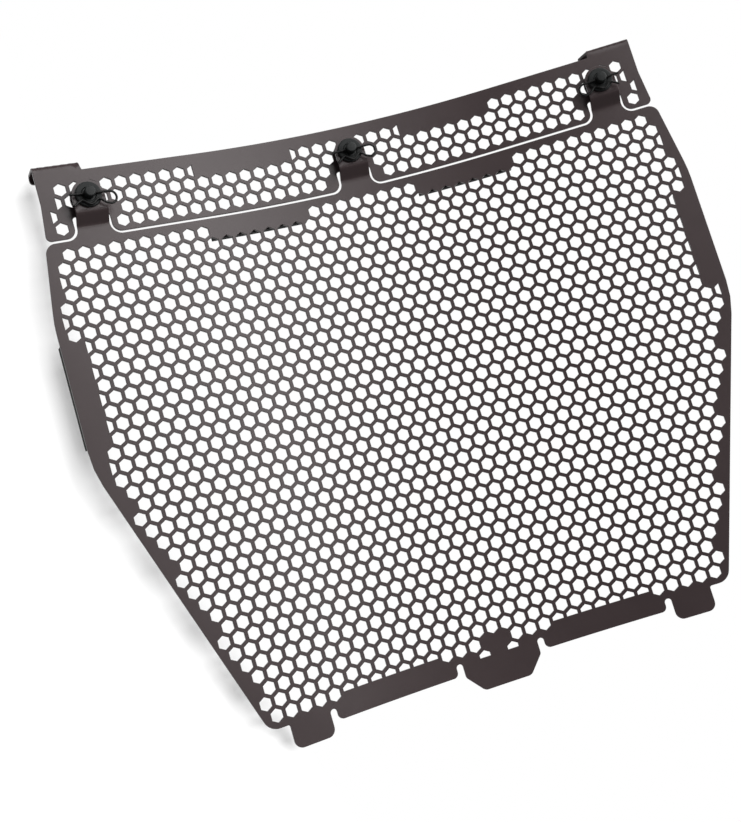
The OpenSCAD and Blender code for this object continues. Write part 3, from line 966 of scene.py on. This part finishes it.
for side, sign in (("left", -1), ("right", 1)):
    for kind, y0, y1 in (("top", BAND_HIGH - PAD_SHOWS, MAIN_TOP - LONG_PAD_INSET),
                         ("bottom", BAND_FOOT + LONG_PAD_INSET, BAND_LOW - LONG_PAD_INSET),
                         ("upper", UPPER_TOP - UPPER_BAND_W, UPPER_TOP - LONG_PAD_INSET)):
        end = PAD_END_OUT - (0 if kind == "top" else PAD_HIDDEN)
        ends = sorted((sign * PAD_END_IN, sign * end))
        pad = build_pad(f"{kind}_foam_{side}", ends[0], ends[1], y0, y1)
        finish_piece(pad, FOAM, f"{kind}_pad_{side}")
    ends = sorted((sign * (MAIN_HALF - SIDE_PAD_W), sign * MAIN_HALF))
    pad = build_pad(f"side_foam_{side}", ends[0], ends[1], SIDE_PAD_LOW, SIDE_PAD_HIGH)
    finish_piece(pad, FOAM, f"side_pad_{side}")


# Studio
FLOOR_HALF = 40.0       # metres, as are the studio's other lengths
FLOOR_GREY = 0.30
FLOOR_GREY_SEEN = 0.60
FLOOR_GLOW = 0.28
SHADE_FROM = 0.012      # painted white light under the guard, which hides the guard's shadow there, starts this far inside its left edge
SHADE_BLEND = 0.010
FAR_FROM = 0.34
FAR_TO = 0.60
AMBIENT = 0.23
WHITE = (1, 1, 1, 1)


def smooth_step(tree, value, low, high):
    """0 below low, 1 above high."""
    ramp = tree.nodes.new("ShaderNodeMapRange")
    ramp.interpolation_type = "SMOOTHSTEP"
    ramp.inputs["From Min"].default_value = low
    ramp.inputs["From Max"].default_value = high
    tree.links.new(value, ramp.inputs["Value"])
    return ramp.outputs["Result"]


def past_line(tree, coords, normal, point):
    """1 from SHADE_FROM past the line through a point, square to the normal, and 0 before the blend."""
    dot = tree.nodes.new("ShaderNodeVectorMath")
    dot.operation = "DOT_PRODUCT"
    dot.inputs[1].default_value = (*normal, 0)
    tree.links.new(coords, dot.inputs[0])
    start = normal[0] * point[0] + normal[1] * point[1] + SHADE_FROM
    return smooth_step(tree, dot.outputs["Value"], start - SHADE_BLEND, start)


def distance(tree, coords):
    length = tree.nodes.new("ShaderNodeVectorMath")
    length.operation = "LENGTH"
    tree.links.new(coords, length.inputs[0])
    return length.outputs["Value"]


def feed(tree, socket, value):
    """Gives a socket a number, or links another node's output to it."""
    if isinstance(value, float):
        socket.default_value = value
    else:
        tree.links.new(value, socket)


def maths(tree, operation, a, b):
    node = tree.nodes.new("ShaderNodeMath")
    node.operation = operation
    feed(tree, node.inputs[0], a)
    feed(tree, node.inputs[1], b)
    return node.outputs[0]


def emission(tree, strength):
    node = tree.nodes.new("ShaderNodeEmission")
    node.inputs["Color"].default_value = WHITE
    feed(tree, node.inputs["Strength"], strength)
    return node.outputs[0]


def backdrop_and_painted_light(tree):
    """Where the floor is plain white: painted light under the guard, which hides the guard's shadow
    there, and the white backdrop far from it.
    """
    coords = tree.nodes.new("ShaderNodeTexCoord").outputs["Object"]
    foot = place(-MAIN_FOOT_HALF, MAIN_FOOT, 0)
    waist = place(-MAIN_HALF, MAIN_WAIST, 0)
    slant = (foot - waist)[:2] / np.linalg.norm((foot - waist)[:2])
    # Painted light: a patch in the guard's outline where the floor is plain white, hiding the guard's
    # shadow there.
    upright = past_line(tree, coords, (1, 0), waist)
    slanted = past_line(tree, coords, (-slant[1], slant[0]), waist)
    under = maths(tree, "MULTIPLY", upright, slanted)
    return maths(tree, "MAXIMUM", under, smooth_step(tree, distance(tree, coords), FAR_FROM, FAR_TO))


def seen_rays(tree):
    """1 for rays from the camera, a mirror or clear glass."""
    path = tree.nodes.new("ShaderNodeLightPath")
    seen = maths(tree, "MAXIMUM", path.outputs["Is Camera Ray"], path.outputs["Is Glossy Ray"])
    return maths(tree, "MAXIMUM", seen, path.outputs["Is Transmission Ray"])


def floor_material():
    """A pale ground that takes the shadow, plain white far from the guard, and painted white light under
    the guard where its shadow would fall.
    """
    mat = bpy.data.materials.new("floor_white")
    mat.use_nodes = True
    tree = mat.node_tree
    tree.nodes.clear()
    seen = seen_rays(tree)
    shade = tree.nodes.new("ShaderNodeMix")
    shade.data_type = "RGBA"
    shade.inputs["A"].default_value = (FLOOR_GREY, FLOOR_GREY, FLOOR_GREY, 1)
    shade.inputs["B"].default_value = (FLOOR_GREY_SEEN, FLOOR_GREY_SEEN, FLOOR_GREY_SEEN, 1)
    tree.links.new(seen, shade.inputs["Factor"])
    diffuse = tree.nodes.new("ShaderNodeBsdfDiffuse")
    tree.links.new(shade.outputs["Result"], diffuse.inputs["Color"])
    ground = tree.nodes.new("ShaderNodeAddShader")
    tree.links.new(diffuse.outputs[0], ground.inputs[0])
    tree.links.new(emission(tree, maths(tree, "MULTIPLY", seen, FLOOR_GLOW)), ground.inputs[1])
    choice = tree.nodes.new("ShaderNodeMixShader")
    # Seen rays get plain white emission in the painted-light patch under the guard and on the far
    # backdrop.
    tree.links.new(maths(tree, "MULTIPLY", backdrop_and_painted_light(tree), seen), choice.inputs[0])
    tree.links.new(ground.outputs[0], choice.inputs[1])
    tree.links.new(emission(tree, 1.0), choice.inputs[2])
    out = tree.nodes.new("ShaderNodeOutputMaterial")
    tree.links.new(choice.outputs[0], out.inputs["Surface"])
    return mat


def make_floor():
    mesh = bpy.data.meshes.new("floor")
    corners = [(x * FLOOR_HALF, y * FLOOR_HALF, 0) for x, y in ((-1, -1), (1, -1), (1, 1), (-1, 1))]
    mesh.from_pydata(corners, [], [(0, 1, 2, 3)])
    mesh.materials.append(floor_material())
    obj = add_object("floor", mesh)
    return obj


def make_light(name, at, size, watts):
    """A square area light that faces the origin."""
    light = bpy.data.lights.new(name, "AREA")
    light.shape = "SQUARE"
    light.size = size
    light.energy = watts
    obj = add_object(name, light)
    obj.location = at
    obj.rotation_euler = (-Vector(at)).to_track_quat("-Z", "Y").to_euler()
    return obj


def make_world(strength):
    world = bpy.data.worlds.new("studio")
    bpy.context.scene.world = world
    world.use_nodes = True
    back = world.node_tree.nodes["Background"]
    back.inputs["Color"].default_value = WHITE
    back.inputs["Strength"].default_value = strength


def light_only(lamp, floor, state):
    """Has the lamp light the floor alone (INCLUDE), or all but the floor (EXCLUDE)."""
    group = bpy.data.collections.new(lamp.name + "_receivers")
    group.objects.link(floor)
    group.collection_objects[0].light_linking.link_state = state
    lamp.light_linking.receiver_collection = group


floor = make_floor()
make_world(AMBIENT)
key = make_light("key", (0.96, 0.50, 0.76), 1.6, 40)
light_only(key, floor, "EXCLUDE")
top_light = make_light("top_light", (0.28, 0.0, 1.5), 0.75, 42)
light_only(top_light, floor, "INCLUDE")
bpy.context.scene.view_settings.view_transform = "Standard"
